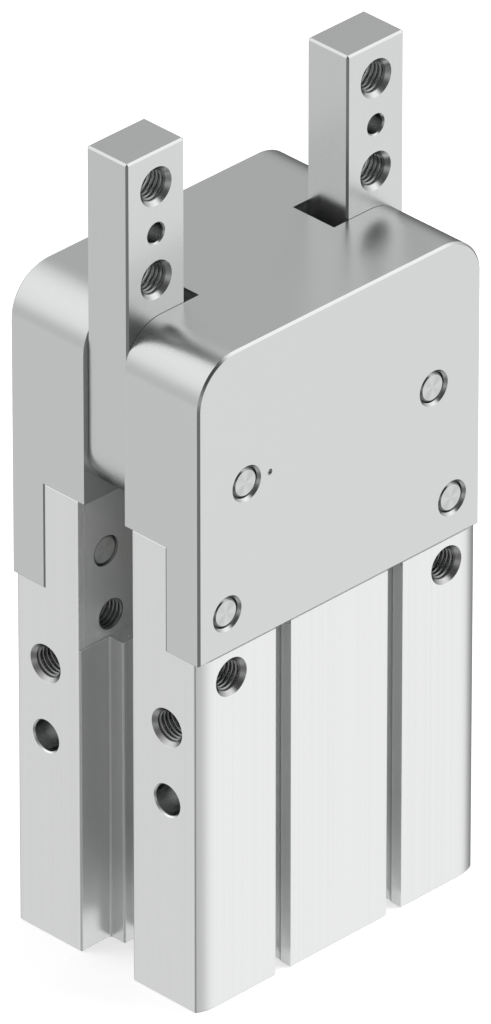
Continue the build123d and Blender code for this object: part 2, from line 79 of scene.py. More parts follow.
# %% [markdown]
# ## Node helpers
# Materials, the world and the floor are all node trees. Nodes can be wired one by one, but a chain
# of sums is easier to read when each sum is one call, so these helpers add a node, fill its inputs
# with numbers or sockets, and hand back its output.

# %% Small helpers for node trees
def new_tree(material):
    """Empty a material's node tree and return its nodes, its links and the output node."""
    material.use_nodes = True
    tree = material.node_tree
    tree.nodes.clear()
    output = tree.nodes.new("ShaderNodeOutputMaterial")
    return tree.nodes, tree.links, output


def fill_inputs(node, links, values):
    """Give a node's inputs their values in order; each is a constant or a socket."""
    for socket, value in zip(node.inputs, values):
        if isinstance(value, bpy.types.NodeSocket):
            links.new(value, socket)
        else:
            socket.default_value = value


def math_node(tree_nodes, links, operation, *values):
    """Add a math node; each value is a number or a socket."""
    node = tree_nodes.new("ShaderNodeMath")
    node.operation = operation
    fill_inputs(node, links, values)
    return node.outputs[0]


def rise(tree_nodes, links, value, low, high, curve):
    """0 up to a low value, 1 from a high one on, and a curve between them."""
    node = tree_nodes.new("ShaderNodeMapRange")
    node.interpolation_type = curve
    node.inputs["From Min"].default_value = low
    node.inputs["From Max"].default_value = high
    links.new(value, node.inputs["Value"])
    return node.outputs["Result"]


# %% [markdown]
# ## Floor
# The part stands on white paper, which has to look white and still show the part's shadow. Plain
# white paper comes out grey, because no light here is strong enough. So the paper also glows a
# little, but only to the camera: it lights nothing, and metal doesn't mirror it.

# %% Build the floor
FLOOR_SIZE = 8.0
FLOOR_COLOUR = (0.86, 0.86, 0.86, 1.0)
FLOOR_GLOW = 0.50

bpy.ops.mesh.primitive_plane_add(size=FLOOR_SIZE, location=(0, 0, 0))
floor = bpy.context.active_object
floor.name = "studio_floor"
floor_material = bpy.data.materials.new("studio_floor")
tree_nodes, links, output = new_tree(floor_material)
diffuse = tree_nodes.new("ShaderNodeBsdfDiffuse")
diffuse.inputs["Color"].default_value = FLOOR_COLOUR
light_path = tree_nodes.new("ShaderNodeLightPath")
glow = tree_nodes.new("ShaderNodeEmission")
seen = light_path.outputs["Is Camera Ray"]
links.new(math_node(tree_nodes, links, "MULTIPLY", seen, FLOOR_GLOW), glow.inputs["Strength"])
paper = tree_nodes.new("ShaderNodeAddShader")
links.new(diffuse.outputs[0], paper.inputs[0])
links.new(glow.outputs[0], paper.inputs[1])
links.new(paper.outputs[0], output.inputs["Surface"])
floor.data.materials.append(floor_material)
floor.visible_glossy = False
print("floor of", FLOOR_SIZE, "m")

# %% [markdown]
# ## World
# Metal shows its surroundings more than its own colour. A flat face takes its tone from the one
# part of the room that it mirrors: here the wide face mirrors the right front below the horizon,
# the narrow face the left rear below it, and the cover's top the right rear above it. Big white
# panels could stand in those places, as in a studio. Painting the tones into the world by direction
# is simpler, and each can be set until its face has the tone of the photograph.
#
# Each row of tones runs once round the object: from the left side (place 0) past the camera
# (0.125), the right front (0.375), the right rear (0.625) and the left rear (0.875), back to the
# left side. The rows lie above each other, and one passes into the next as the direction rises.

# %% Tones of the world
TONE_UNDER = 0.45
TONES_BELOW = (
    (0.0, 0.42), (0.125, 0.16), (0.21, 0.50), (0.375, 0.975), (0.52, 0.40), (0.625, 0.12),
    (0.73, 0.40), (0.875, 0.748), (1.0, 0.42))
TONES_LEVEL = (
    (0.0, 0.50), (0.125, 0.40), (0.25, 0.60), (0.375, 0.88), (0.50, 0.55), (0.625, 0.32),
    (0.75, 0.55), (0.875, 0.64), (1.0, 0.50))
TONES_ABOVE = (
    (0.0, 0.55), (0.07, 0.20), (0.125, 0.07), (0.26, 0.07), (0.34, 1.1), (0.375, 1.30),
    (0.50, 0.63), (0.64, 0.578), (0.70, 0.85), (0.77, 1.02), (0.86, 1.08), (1.0, 0.55))
UNDER_TO_BELOW = (-0.90, -0.70)
BELOW_TO_LEVEL = (-0.38, -0.22)
LEVEL_TO_ABOVE = (-0.15, 0.35)
print("rows of tones:", len(TONES_BELOW), len(TONES_LEVEL), len(TONES_ABOVE))

# %% Paint the tones by direction
world = bpy.data.worlds.new("studio")
bpy.context.scene.world = world
world.use_nodes = True
world_nodes = world.node_tree.nodes
world_links = world.node_tree.links
world_nodes.clear()
direction = world_nodes.new("ShaderNodeTexCoord").outputs["Generated"]
around = world_nodes.new("ShaderNodeTexGradient")
around.gradient_type = "RADIAL"
world_links.new(direction, around.inputs["Vector"])
parts_of_direction = world_nodes.new("ShaderNodeSeparateXYZ")
world_links.new(direction, parts_of_direction.inputs[0])


def grey(tone):
    """A grey as a colour value."""
    return (tone, tone, tone, 1.0)


def row_of_tones(tones):
    """A ramp of greys round the object, given as places from 0 to 1 and their tones."""
    ramp = world_nodes.new("ShaderNodeValToRGB")
    ramp.color_ramp.interpolation = "EASE"
    while len(ramp.color_ramp.elements) < len(tones):
        ramp.color_ramp.elements.new(0.5)
    for stop, (place, tone) in zip(ramp.color_ramp.elements, tones):
        stop.position = place
        stop.color = grey(tone)
    world_links.new(around.outputs["Fac"], ramp.inputs["Fac"])
    return ramp.outputs["Color"]


def next_tone(lower, upper, heights):
    """Mix from a lower tone to an upper row as the direction rises between two heights."""
    tones = world_nodes.new("ShaderNodeMix")
    tones.data_type = "RGBA"
    height = parts_of_direction.outputs["Z"]
    world_links.new(rise(world_nodes, world_links, height, *heights, "SMOOTHSTEP"),
                    tones.inputs["Factor"])
    if lower is None:
        tones.inputs["A"].default_value = grey(TONE_UNDER)
    else:
        world_links.new(lower, tones.inputs["A"])
    world_links.new(row_of_tones(upper), tones.inputs["B"])
    return tones.outputs["Result"]


below = next_tone(None, TONES_BELOW, UNDER_TO_BELOW)
level = next_tone(below, TONES_LEVEL, BELOW_TO_LEVEL)
above = next_tone(level, TONES_ABOVE, LEVEL_TO_ABOVE)
print("world nodes:", len(world_nodes))

# %% [markdown]
# Only reflections need the painted tones. Diffuse light sees an even grey, which gives soft shade
# without a direction, and the camera sees plain white behind the part. The Light Path node tells
# the three apart.

# %% Show each kind of ray its own world
WORLD_GREY = 0.54
WHITE = 1.0


def background(tone=None, colour=None):
    """A background shader with a constant tone or a linked colour."""
    node = world_nodes.new("ShaderNodeBackground")
    if colour is None:
        node.inputs["Color"].default_value = grey(tone)
    else:
        world_links.new(colour, node.inputs["Color"])
    return node.outputs[0]


def choose(ray, otherwise, if_ray):
    """Take one shader for a kind of ray and the other for the rest."""
    node = world_nodes.new("ShaderNodeMixShader")
    world_links.new(world_path.outputs[ray], node.inputs["Fac"])
    world_links.new(otherwise, node.inputs[1])
    world_links.new(if_ray, node.inputs[2])
    return node.outputs[0]


world_path = world_nodes.new("ShaderNodeLightPath")
for_metal = choose("Is Glossy Ray", background(tone=WORLD_GREY), background(colour=above))
for_camera = choose("Is Camera Ray", for_metal, background(tone=WHITE))
world_output = world_nodes.new("ShaderNodeOutputWorld")
world_links.new(for_camera, world_output.inputs["Surface"])
print("world nodes:", len(world_nodes))

# %% [markdown]
# ## Lamps
# A world alone gives shadows from all sides at once, so the part would seem to float. Two large
# area lamps, a strong one on the right and a weaker one behind on the left, add a soft shadow at
# its foot. They are hidden from reflections, which the world already takes care of.

# %% Hang two soft lamps
LAMP_DISTANCE = 1.2
LAMP_SIZE = 0.7
LAMPS = (
    # name, direction from the object, power in watts
    ("lamp_right", (0.61, -0.51, 0.61), 7.5),
    ("lamp_left_rear", (-0.51, 0.61, 0.61), 3.0),
)

for name, lamp_direction, power in LAMPS:
    data = bpy.data.lights.new(name, "AREA")
    data.shape = "SQUARE"
    data.size = LAMP_SIZE
    data.energy = power
    lamp = bpy.data.objects.new(name, data)
    bpy.context.collection.objects.link(lamp)
    away = Vector(lamp_direction).normalized()
    lamp.location = CAMERA_AIM + away * LAMP_DISTANCE
    lamp.rotation_euler = (-away).to_track_quat("-Z", "Y").to_euler()
    lamp.visible_glossy = False
    print(name, "at", [round(v, 3) for v in lamp.location])

# %% [markdown]
# ## Metals
# Every metal here is a Principled shader with a high metallic value. What tells one from another
# is the base colour, the roughness, and the grain that the tool left: long lines on an extrusion,
# an even satin on blasted faces, fine lines along a ground bar. All of these are one noise with a
# different stretch, so the noise is built once, as a node group.

# %% Grain shared by the metals
GRAIN_DETAIL = 3.0


def new_group(name, *inputs):
    """A node group with the named inputs, given as name and kind, and one output called Mask."""
    group = bpy.data.node_groups.new(name, "ShaderNodeTree")
    for socket_name, kind in inputs:
        group.interface.new_socket(socket_name, in_out="INPUT", socket_type="NodeSocket" + kind)
    group.interface.new_socket("Mask", in_out="OUTPUT", socket_type="NodeSocketFloat")
    return group, group.nodes.new("NodeGroupInput"), group.nodes.new("NodeGroupOutput")


def vector_node(tree_nodes, links, operation, *values):
    """Add a vector math node; each value is a vector or a socket."""
    node = tree_nodes.new("ShaderNodeVectorMath")
    node.operation = operation
    fill_inputs(node, links, values)
    return node.outputs["Value" if operation == "LENGTH" else "Vector"]


def make_grain_group():
    """Node group: stretched noise, put out as a mask from 0 to 1."""
    group, group_in, group_out = new_group("tool_grain", ("Stretch", "Vector"), ("Detail", "Float"))
    place = group.nodes.new("ShaderNodeTexCoord").outputs["Object"]
    noise = group.nodes.new("ShaderNodeTexNoise")
    noise.inputs["Scale"].default_value = 1.0
    group.links.new(
        vector_node(group.nodes, group.links, "MULTIPLY", place, group_in.outputs["Stretch"]),
        noise.inputs["Vector"])
    group.links.new(group_in.outputs["Detail"], noise.inputs["Detail"])
    group.links.new(noise.outputs["Fac"], group_out.inputs["Mask"])
    return group


tool_grain = make_grain_group()
print("group made:", tool_grain.name)

# %% [markdown]
# The recipe mixes two tints of the colour by the grain, and lets the same grain move the roughness
# and a very shallow bump, so that the lines show in the reflections too. A smooth metal turns into
# a perfect mirror at a grazing angle, but the skin on these parts takes some of that light away.
# Specular Tint sets how bright a metal gets just before that angle, and a grey there keeps rims and
# roundings from flaring white.

# %% One recipe for every metal
EDGE_TINT = 0.35
ROUGHNESS_SPREAD = 0.15
GRAIN_DEPTH = 0.02 * MM
BUMP_STRENGTH = 0.4


def metal(name, colour, roughness, stretch, grain, depth=GRAIN_DEPTH, metallic=1.0):
    """A metal with a tool grain that varies its colour, its roughness and its surface."""
    material = bpy.data.materials.new(name)
    tree_nodes, links, output = new_tree(material)
    shader = tree_nodes.new("ShaderNodeBsdfPrincipled")
    shader.inputs["Metallic"].default_value = metallic
    shader.inputs["Specular Tint"].default_value = grey(EDGE_TINT)
    grain_node = tree_nodes.new("ShaderNodeGroup")
    grain_node.node_tree = tool_grain
    grain_node.inputs["Stretch"].default_value = stretch
    grain_node.inputs["Detail"].default_value = GRAIN_DETAIL
    mask = grain_node.outputs["Mask"]
    tint = tree_nodes.new("ShaderNodeMix")
    tint.data_type = "RGBA"
    tint.inputs["A"].default_value = [c * (1 - grain) for c in colour] + [1.0]
    tint.inputs["B"].default_value = [min(1.0, c * (1 + grain)) for c in colour] + [1.0]
    links.new(mask, tint.inputs["Factor"])
    links.new(tint.outputs["Result"], shader.inputs["Base Color"])
    rough = tree_nodes.new("ShaderNodeMapRange")
    rough.inputs["To Min"].default_value = roughness * (1 - ROUGHNESS_SPREAD)
    rough.inputs["To Max"].default_value = roughness * (1 + ROUGHNESS_SPREAD)
    links.new(mask, rough.inputs["Value"])
    links.new(rough.outputs["Result"], shader.inputs["Roughness"])
    bump = tree_nodes.new("ShaderNodeBump")
    bump.inputs["Strength"].default_value = BUMP_STRENGTH
    bump.inputs["Distance"].default_value = depth
    links.new(mask, bump.inputs["Height"])
    links.new(bump.outputs["Normal"], shader.inputs["Normal"])
    links.new(shader.outputs[0], output.inputs["Surface"])
    return material


def dress(material, *names):
    """Give one material to the named CAD nodes."""
    for name in names:
        slots = nodes[name].data.materials
        if len(slots) == 0:
            slots.append(material)
        for index in range(len(slots)):
            slots[index] = material
    print(material.name, "on", ", ".join(names))


# %% [markdown]
# ## Holes and recesses
# A drilled hole looks darker than the face round it: light bounces many times down its wall and
# loses a little at each bounce. Here that shade is painted into the colour, as a darker tone on the
# walls of holes and channels. The inside of a channel is also duller, because no cutter has cleaned
# it. Separate faces could carry a second material, but the CAD meshes stay as they are. So two
# groups find these places from the Object coordinates: one by the distance from a hole's axis, one
# by a box. Both read the coordinates without their signs, so one call serves all the places that
# mirror each other.

# %% Groups that find holes and recesses
def place_without_signs(group):
    """The Object coordinates inside a group, all made positive."""
    place = group.nodes.new("ShaderNodeTexCoord").outputs["Object"]
    return vector_node(group.nodes, group.links, "ABSOLUTE", place)


def make_bore_group():
    """Node group: 1 near a hole's axis, within a radius across it and a reach along it."""
    group, group_in, group_out = new_group(
        "bore_wall", ("Centre", "Vector"), ("Across", "Vector"), ("Radius", "Float"),
        ("Reach", "Float"))
    tree = (group.nodes, group.links)
    offset = vector_node(*tree, "SUBTRACT", place_without_signs(group), group_in.outputs["Centre"])
    across = vector_node(*tree, "MULTIPLY", offset, group_in.outputs["Across"])
    along = vector_node(*tree, "SUBTRACT", offset, across)
    near_axis = math_node(
        *tree, "LESS_THAN", vector_node(*tree, "LENGTH", across), group_in.outputs["Radius"])
    in_reach = math_node(
        *tree, "LESS_THAN", vector_node(*tree, "LENGTH", along), group_in.outputs["Reach"])
    group.links.new(math_node(*tree, "MULTIPLY", near_axis, in_reach), group_out.inputs["Mask"])
    return group


def make_box_group():
    """Node group: 1 inside a box, given by its centre and half its size."""
    group, group_in, group_out = new_group(
        "recess_box", ("Centre", "Vector"), ("Half Size", "Vector"))
    tree = (group.nodes, group.links)
    offset = vector_node(*tree, "SUBTRACT", place_without_signs(group), group_in.outputs["Centre"])
    offset = vector_node(*tree, "ABSOLUTE", offset)
    outside = vector_node(*tree, "SUBTRACT", offset, group_in.outputs["Half Size"])
    split = group.nodes.new("ShaderNodeSeparateXYZ")
    group.links.new(outside, split.inputs[0])
    furthest = math_node(*tree, "MAXIMUM", split.outputs["X"], split.outputs["Y"])
    furthest = math_node(*tree, "MAXIMUM", furthest, split.outputs["Z"])
    group.links.new(math_node(*tree, "LESS_THAN", furthest, 0.0), group_out.inputs["Mask"])
    return group


bore_wall = make_bore_group()
recess_box = make_box_group()
print("groups made:", bore_wall.name, recess_box.name)

# %% [markdown]
# A group is placed with its own values for each hole, here in millimetres. Across picks the two
# axes that the radius is measured in: a hole that runs along X is measured in Y and Z.

# %% Masks from the groups
ALONG_X = (0, 1, 1)
ALONG_Y = (1, 0, 1)


def bore_mask(tree_nodes, centre, across, radius, reach):
    """Mask of a hole's wall, from sizes in mm."""
    node = tree_nodes.new("ShaderNodeGroup")
    node.node_tree = bore_wall
    node.inputs["Centre"].default_value = [value * MM for value in centre]
    node.inputs["Across"].default_value = across
    node.inputs["Radius"].default_value = radius * MM
    node.inputs["Reach"].default_value = reach * MM
    return node.outputs["Mask"]


def box_mask(tree_nodes, centre, half_size):
    """Mask of a recess, from sizes in mm."""
    node = tree_nodes.new("ShaderNodeGroup")
    node.node_tree = recess_box
    node.inputs["Centre"].default_value = [value * MM for value in centre]
    node.inputs["Half Size"].default_value = [value * MM for value in half_size]
    return node.outputs["Mask"]


def object_place(tree_nodes, links):
    """The Object coordinates as three sockets called X, Y and Z."""
    split = tree_nodes.new("ShaderNodeSeparateXYZ")
    links.new(tree_nodes.new("ShaderNodeTexCoord").outputs["Object"], split.inputs[0])
    return split.outputs


# %% [markdown]
# Two things change where a mask is 1. Painting shade multiplies the colour by a darker tone.
# Softening lowers the metallic value, so that part of the light is scattered as it is by a dull
# oxide skin, and the reflections in a channel fade instead of staying sharp.

# %% Use a mask on a metal
def principled(material):
    """The Principled shader of a material."""
    return next(node for node in material.node_tree.nodes if node.type == "BSDF_PRINCIPLED")


def paint_shade(material, mask, tone):
    """Paint shade: multiply a material's colour by a darker tone where a mask is 1."""
    links = material.node_tree.links
    base_colour = principled(material).inputs["Base Color"]
    darker = material.node_tree.nodes.new("ShaderNodeMix")
    darker.data_type = "RGBA"
    darker.blend_type = "MULTIPLY"
    darker.inputs["B"].default_value = grey(tone)
    links.new(mask, darker.inputs["Factor"])
    links.new(base_colour.links[0].from_socket, darker.inputs["A"])
    links.new(darker.outputs["Result"], base_colour)


def soften(material, mask, metallic):
    """Lower a material's metallic value where a mask is 1."""
    tree = (material.node_tree.nodes, material.node_tree.links)
    skin = math_node(*tree, "MULTIPLY", mask, metallic - 1.0)
    material.node_tree.links.new(
        math_node(*tree, "ADD", skin, 1.0), principled(material).inputs["Metallic"])


# %% [markdown]
# ## Housing
# The housing is a length of aluminium profile, anodised clear. A press pushes the hot metal through
# a die, and the die leaves fine lines along the profile. The grain is stretched to match: it
# changes quickly from side to side and hardly at all from top to bottom. The numbers in a stretch
# say how often the grain changes in a metre along X, Y and Z.

# %% Housing finish
housing_metal = metal("housing_anodised", colour=(0.922, 0.932, 0.927), roughness=0.26,
                      stretch=(2200, 2200, 4), grain=0.048, depth=0.004 * MM)
housing_nodes = housing_metal.node_tree.nodes
housing_tree = (housing_nodes, housing_metal.node_tree.links)
dress(housing_metal, "body_housing")

# %% [markdown]
# Its arms carry threads in the wide faces and in the narrow ones, each with a countersunk mouth,
# and a plain dowel hole under each thread of the narrow faces. A cone, a thread's wall and a dowel
# hole's wall each get their own painted shade, a darker tone. The cones end at a short reach, so
# that their painted shade doesn't fall on the thread.

# %% Paint shade into the housing's holes
WIDE_X, WIDE_Z = 17.73, 44.19
SIDE_Y, SIDE_Z = 10.06, 37.26
DOWEL_Z = 27.32
CONE_SHADE = 0.66
THREAD_WALL_SHADE = 0.78
DOWEL_SHADE = 0.72
HOUSING_HOLES = (
    # centre in mm, axis, radius, reach, painted shade
    ((22.7, SIDE_Y, SIDE_Z), ALONG_X, 2.5, 0.6, CONE_SHADE),
    ((WIDE_X, 15.06, WIDE_Z), ALONG_Y, 2.5, 0.6, CONE_SHADE),
    ((19.0, SIDE_Y, SIDE_Z), ALONG_X, 2.02, 4.2, THREAD_WALL_SHADE),
    ((WIDE_X, 10.0, WIDE_Z), ALONG_Y, 2.02, 6.0, THREAD_WALL_SHADE),
    ((20.2, SIDE_Y, DOWEL_Z), ALONG_X, 2.04, 3.5, DOWEL_SHADE),
)

# Each hole's wall and mouth gets painted shade, a darker colour.
for centre, across, radius, reach, tone in HOUSING_HOLES:
    paint_shade(housing_metal, bore_mask(housing_nodes, centre, across, radius, reach), tone)
print("kinds of hole in the housing:", len(HOUSING_HOLES))

# %% [markdown]
# The channels between the arms and the two sensor grooves keep the press's dull skin, so they are
# softened all the way up. Their darker tone is painted shade of the recess: it fades out towards
# the open lower end, where light from the paper comes in, and it stops at the milled floor of the
# pocket.

# %% Dull the channels and the grooves, and paint shade into them
CHANNEL_BOX = ((0, 0, 32), (24, 4.53, 31.9))
GROOVE_BOX = ((9.22, 12.8, 23), (2.3, 2.5, 24))
CHANNEL_SHADE = 0.73
GROOVE_SHADE = 0.82
RECESS_METALLIC = 0.6
POCKET_FLOOR = 41.3 * MM
FADE_FROM = 1.5 * MM
FADE_TO = 14.0 * MM

channel = box_mask(housing_nodes, *CHANNEL_BOX)
groove = box_mask(housing_nodes, *GROOVE_BOX)
soften(housing_metal, math_node(*housing_tree, "MAXIMUM", channel, groove), RECESS_METALLIC)
# The darker colour below is painted shade of the recesses, fading out towards the lower end.
housing_height = object_place(*housing_tree)["Z"]
fade = rise(*housing_tree, housing_height, FADE_FROM, FADE_TO, "SMOOTHSTEP")
below_pocket = math_node(*housing_tree, "LESS_THAN", housing_height, POCKET_FLOOR)
channel = math_node(*housing_tree, "MULTIPLY", channel, below_pocket)
for recess, tone in ((channel, CHANNEL_SHADE), (groove, GROOVE_SHADE)):
    paint_shade(housing_metal, math_node(*housing_tree, "MULTIPLY", recess, fade), tone)
print("nodes in the housing's material:", len(housing_nodes))

# %% [markdown]
# ## Cover
# The cover is milled from a block, blasted with glass beads and anodised. Blasting leaves an even
# satin without a direction, so its grain is the same along all three axes. Its rounded top mirrors
# more softly than its sides. The roughness therefore grows towards the top, but only between the
# wide faces, which stay even up to their edge. The slot that the jaws swing in is a little duller.

# %% Cover finish
TOP_FROM = 83.5 * MM
TOP_TO = 87.0 * MM
TOP_EXTRA_ROUGHNESS = 0.3
BETWEEN_WIDE_FACES = ((0, 0, 80), (24, 15.1, 10))
SLOT_BOX = ((0, 0, 67), (24, 3.45, 20.2))
SLOT_METALLIC = 0.85

cover_metal = metal("cover_anodised", colour=(0.727, 0.739, 0.733), roughness=0.23,
                    stretch=(3000, 3000, 3000), grain=0.02)
cover_nodes = cover_metal.node_tree.nodes
cover_tree = (cover_nodes, cover_metal.node_tree.links)
towards_top = rise(*cover_tree, object_place(*cover_tree)["Z"], TOP_FROM, TOP_TO, "LINEAR")
upward = math_node(*cover_tree, "MULTIPLY", towards_top, box_mask(cover_nodes, *BETWEEN_WIDE_FACES))
extra = math_node(*cover_tree, "MULTIPLY", upward, TOP_EXTRA_ROUGHNESS)
cover_roughness = principled(cover_metal).inputs["Roughness"]
cover_metal.node_tree.links.new(
    math_node(*cover_tree, "MULTIPLY", cover_roughness.links[0].from_socket,
              math_node(*cover_tree, "ADD", extra, 1.0)), cover_roughness)
soften(cover_metal, box_mask(cover_nodes, *SLOT_BOX), SLOT_METALLIC)
dress(cover_metal, "head_cover")

# %% [markdown]
# ## Jaws
# The jaws are steel bars, ground along their length and plated. Each has a thread near its tip, a
# small dowel hole and a second thread, all three right through.

# %% Jaw finish
JAW_X = 17.86
JAW_LOW_Z, JAW_DOWEL_Z, JAW_HIGH_Z = 92.33, 98.48, 104.63
JAW_REACH = 4
JAW_HOLES = (
    # height in mm, radius, painted shade
    (JAW_LOW_Z, 2.04, THREAD_WALL_SHADE),
    (JAW_DOWEL_Z, 1.29, DOWEL_SHADE),
    (JAW_HIGH_Z, 2.04, THREAD_WALL_SHADE),
)

jaw_metal = metal("jaw_ground_steel", colour=(0.732, 0.744, 0.738), roughness=0.26,
                  stretch=(1500, 1500, 120), grain=0.02)
# Each hole's wall in the jaws gets painted shade, a darker colour.
for height, radius, tone in JAW_HOLES:
    hole = bore_mask(jaw_metal.node_tree.nodes, (JAW_X, 0, height), ALONG_Y, radius, JAW_REACH)
    paint_shade(jaw_metal, hole, tone)
dress(jaw_metal, "jaw_left", "jaw_right")

# %% [markdown]
# ## Pins
# A pin's end is faced on a lathe. The tool leaves rings, which spread a reflection into a cross of
# light and shade round the centre. Real rings in the mesh would need a great many triangles, and
# an anisotropic shader would need a tangent that runs round each pin. Painting the cross into the
# colour by the angle round the pin's axis is simpler: this painted reflection is the sum of a wave
# with four crests and one with two. The chamfered rim mirrors the dark side of the room, and the
# crevice round it is nearly black, so both get painted shade by their distance from the axis.

# %% Turned ends of the pins
TURNED_SHADE = 0.78
CREST_SHARES = (("COSINE", 4.0, 0.25), ("SINE", 2.0, -0.12))
CROSS_MIDDLE = 0.45
PIN_REACH = 20
PIN_RIM_SHADES = ((1.60, 0.62), (1.90, 0.35))


def turned_pin(name, axis_x, axis_z):
    """Steel of a pin whose axis runs along Y at a place in mm, with painted light and shade on its
    turned end.
    """
    material = metal(name, colour=(0.725, 0.74, 0.732), roughness=0.20,
                     stretch=(2000, 2000, 2000), grain=0.02)
    tree_nodes = material.node_tree.nodes
    tree = (tree_nodes, material.node_tree.links)
    place = object_place(*tree)
    side = math_node(*tree, "SIGN", place["X"])
    axis_here = math_node(*tree, "MULTIPLY", side, axis_x * MM)
    from_axis_x = math_node(*tree, "SUBTRACT", place["X"], axis_here)
    from_axis_z = math_node(*tree, "SUBTRACT", place["Z"], axis_z * MM)
    angle = math_node(*tree, "ARCTAN2", from_axis_z, from_axis_x)
    # The cross is a painted reflection: the colour is darkened by the angle round the axis.
    cross = 0.0
    for wave, crests, share in CREST_SHARES:
        turned = math_node(*tree, wave, math_node(*tree, "MULTIPLY", angle, crests))
        cross = math_node(*tree, "ADD", cross, math_node(*tree, "MULTIPLY", turned, share))
    paint_shade(material, math_node(*tree, "SUBTRACT", CROSS_MIDDLE, cross), TURNED_SHADE)
    # The rim and the crevice get painted shade by their distance from the axis.
    for radius, tone in PIN_RIM_SHADES:
        inner = bore_mask(tree_nodes, (axis_x, 0, axis_z), ALONG_Y, radius, PIN_REACH)
        paint_shade(material, math_node(*tree, "SUBTRACT", 1.0, inner), tone)
    return material


# %% [markdown]
# The upper pins carry the jaws. The lower four hold the cover's legs, and their other ends show
# inside the channel, where they are as dull as the wall round them.

# %% Pin finish
COVER_PIN = (18.49, 53.07)
PIVOT_PIN = (15.32, 69.22)
PIN_INNER_BOX = ((0, 0, 53), (24, 6, 3))
PIN_INNER_METALLIC = 0.5

cover_pin_metal = turned_pin("cover_pin_steel", *COVER_PIN)
soften(cover_pin_metal, box_mask(cover_pin_metal.node_tree.nodes, *PIN_INNER_BOX),
       PIN_INNER_METALLIC)
dress(cover_pin_metal, "cover_dowel_pins")
dress(turned_pin("pivot_pin_steel", *PIVOT_PIN), "pivot_pin_left", "pivot_pin_right")

# %% [markdown]
# ## Inner parts
# The drive inside is seen only through the slot, but a viewer can take the part apart, so each
# piece gets the finish of its trade: plain ground pins, a blackened drive head, a chromed rod,
# bronze bushes, turned aluminium, spring steel, black rubber, and a ferrite magnet. Rubber and
# ferrite aren't metals in this sense, so their metallic value is 0.

# %% Finishes of the inner parts
EVEN = (2000, 2000, 2000)
SOFT_PARTS = (1500, 1500, 1500)
INNER_METALS = (
    # name, colour, roughness, stretch, grain, metallic, nodes that wear it
    ("pin_steel", (0.78, 0.78, 0.78), 0.22, EVEN, 0.03, 1.0,
     ("lever_pin_left", "lever_pin_right", "lever_roller_left", "lever_roller_right",
      "head_lock_pin", "piston_nut")),
    ("head_steel", (0.42, 0.42, 0.43), 0.35, (2000, 200, 2000), 0.06, 1.0, ("drive_head",)),
    ("rod_chromed", (0.70, 0.71, 0.72), 0.12, (200, 200, 4000), 0.02, 1.0, ("piston_rod",)),
    ("bush_bronze", (0.55, 0.38, 0.20), 0.40, EVEN, 0.08, 1.0,
     ("rod_bush", "pivot_bush_left", "pivot_bush_right")),
    ("turned_aluminium", (0.80, 0.80, 0.80), 0.30, EVEN, 0.03, 1.0, ("piston", "end_cap")),
    ("spring_steel", (0.10, 0.10, 0.105), 0.38, EVEN, 0.10, 1.0,
     ("end_cap_circlip", "seal_retainer")),
    ("seal_rubber", (0.03, 0.03, 0.03), 0.65, SOFT_PARTS, 0.2, 0.0,
     ("rod_seal", "piston_seal_lower", "piston_seal_upper", "end_cap_o_ring", "bumper_lower",
      "bumper_upper")),
    ("magnet_ferrite", (0.05, 0.05, 0.05), 0.55, SOFT_PARTS, 0.2, 0.0, ("piston_magnet",)),
)

for name, colour, roughness, stretch, grain, metallic, wearers in INNER_METALS:
    dress(metal(name, colour, roughness, stretch, grain, metallic=metallic), *wearers)

# %% [markdown]
# ## Threads
# A tapped hole has a ridge that winds down its wall like a spring. The CAD bores are plain, at the
# thread's outer diameter, so each one gets its ridge here, as real geometry. A bump could suggest
# it, but a ridge also hides what is behind it and shows at the hole's rim. One tooth's outline is
# drawn beside the hole's axis, and the Screw modifier sweeps it round and down by the pitch at each
# turn. Two cuts trim its ends, and a cone takes off the first turn's crest, as the countersink does
# on the real part. A ridge is wound once and copied into its holes.

# %% Helpers for modelling by hand
def select_only(piece):
    """Deselect everything, then select one piece and make it active."""
    bpy.ops.object.select_all(action="DESELECT")
    piece.select_set(True)
    bpy.context.view_layer.objects.active = piece


def edit_all(piece):
    """Open a piece in edit mode with all of it selected."""
    select_only(piece)
    bpy.ops.object.mode_set(mode="EDIT")
    bpy.ops.mesh.select_all(action="SELECT")


def select_where(piece, test):
    """In edit mode, select the vertices whose place passes a test."""
    shape = bmesh.from_edit_mesh(piece.data)
    for part in list(shape.faces) + list(shape.edges) + list(shape.verts):
        part.select = False
    for vertex in shape.verts:
        vertex.select = test(vertex.co)
    shape.select_flush_mode()
    bmesh.update_edit_mesh(piece.data)


def apply_modifier(piece, modifier):
    """Apply one modifier to its piece."""
    select_only(piece)
    bpy.ops.object.modifier_apply(modifier=modifier.name)


# %% [markdown]
# The tooth starts as a single square face, turned upright and stretched to the tooth's depth and
# foot. Its inner edge is then squeezed to make the narrow crest. The foot sits slightly inside the
# hole's wall, so that no gap shows there.

# %% Sweep the tooth
TURN_STEPS = 32
TOOTH_DEPTH = 0.2 * MM
TOOTH_FOOT = 0.36 * MM
TOOTH_CREST = 0.22
SEAT = 0.02 * MM


